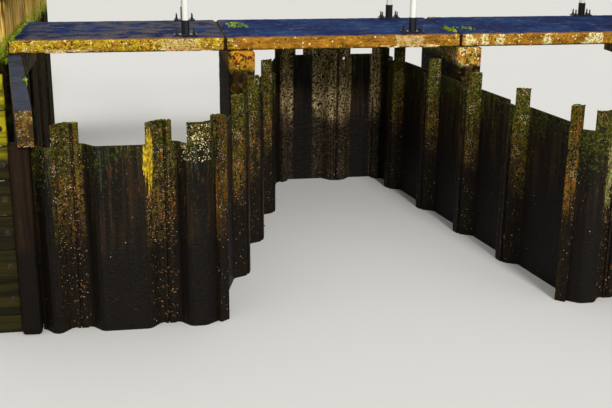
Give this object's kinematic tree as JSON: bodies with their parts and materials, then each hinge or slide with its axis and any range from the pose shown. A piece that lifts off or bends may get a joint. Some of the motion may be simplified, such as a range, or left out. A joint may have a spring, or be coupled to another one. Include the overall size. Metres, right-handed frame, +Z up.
{
  "type": "duckbill weir with footbridge",
  "caption": "Folded weir of notched steel trough piles between two banks, with a concrete slab footbridge and tube handrails over it.",
  "frame": {"origin": "middle of the bounding box on the lower water level, where the feet of the walls stand", "axes": "+X along the footbridge to the right as seen from downstream, +Y upstream, +Z up"},
  "size_m": [5.272, 5.288, 2.5611],
  "materials": {
    "bank_steel": "pale weathered and streaked steel",
    "black_paint": "black gloss paint",
    "cap_concrete": "wet slate-grey concrete",
    "ledge_steel": "rusted steel",
    "pier_concrete": "orange and white lichen on concrete",
    "slab_concrete": "lichen-covered concrete",
    "wet_steel": "dark wet rusted steel with algae",
    "wet_timber": "wet timber with green algae",
    "white_paint": "white gloss paint"
  },
  "bodies": {
    "root": {"back_left_pile": "wet_steel", "back_right_pile": "wet_steel", "front_mid_rail": "white_paint", "front_stanchion_sockets": "black_paint", "front_stanchions": "white_paint", "front_top_rail": "white_paint", "left_back_corner_post": "wet_steel", "left_bank_boards": "wet_timber", "left_bank_coping": "cap_concrete", "left_bearing_angle": "ledge_steel", "left_cap_beam": "cap_concrete", "left_end_post": "wet_timber", "left_front_corner_post": "wet_steel", "left_high_bank_pile_1": "bank_steel", "left_high_bank_pile_2": "bank_steel", "left_high_bank_pile_3": "bank_steel", "left_high_bank_pile_4": "bank_steel", "left_high_bank_pile_5": "bank_steel", "left_low_bank_piles": "bank_steel", "left_pier": "pier_concrete", "left_side_pile_1": "wet_steel", "left_side_pile_2": "wet_steel", "left_side_pile_3": "wet_steel", "left_side_pile_4": "wet_steel", "left_slab": "slab_concrete", "left_wing_corner_pile": "wet_steel", "left_wing_end_pile": "wet_steel", "left_wing_pile_1": "wet_steel", "middle_slab": "slab_concrete", "rear_mid_rail": "white_paint", "rear_stanchion_sockets": "black_paint", "rear_stanchions": "white_paint", "rear_top_rail": "white_paint", "right_back_corner_post": "wet_steel", "right_bank_boards": "wet_timber", "right_bank_coping": "cap_concrete", "right_cap_beam": "cap_concrete", "right_end_post": "wet_timber", "right_front_corner_post": "wet_steel", "right_high_bank_pile_1": "bank_steel", "right_high_bank_pile_2": "bank_steel", "right_low_bank_piles": "bank_steel", "right_pier": "pier_concrete", "right_side_pile_1": "wet_steel", "right_side_pile_2": "wet_steel", "right_side_pile_3": "wet_steel", "right_side_pile_4": "wet_steel", "right_side_pile_5": "wet_steel", "right_slab": "slab_concrete", "right_wing_corner_pile": "wet_steel", "right_wing_end_pile": "wet_steel", "right_wing_pile_1": "wet_steel"}
  },
  "joints": []
}
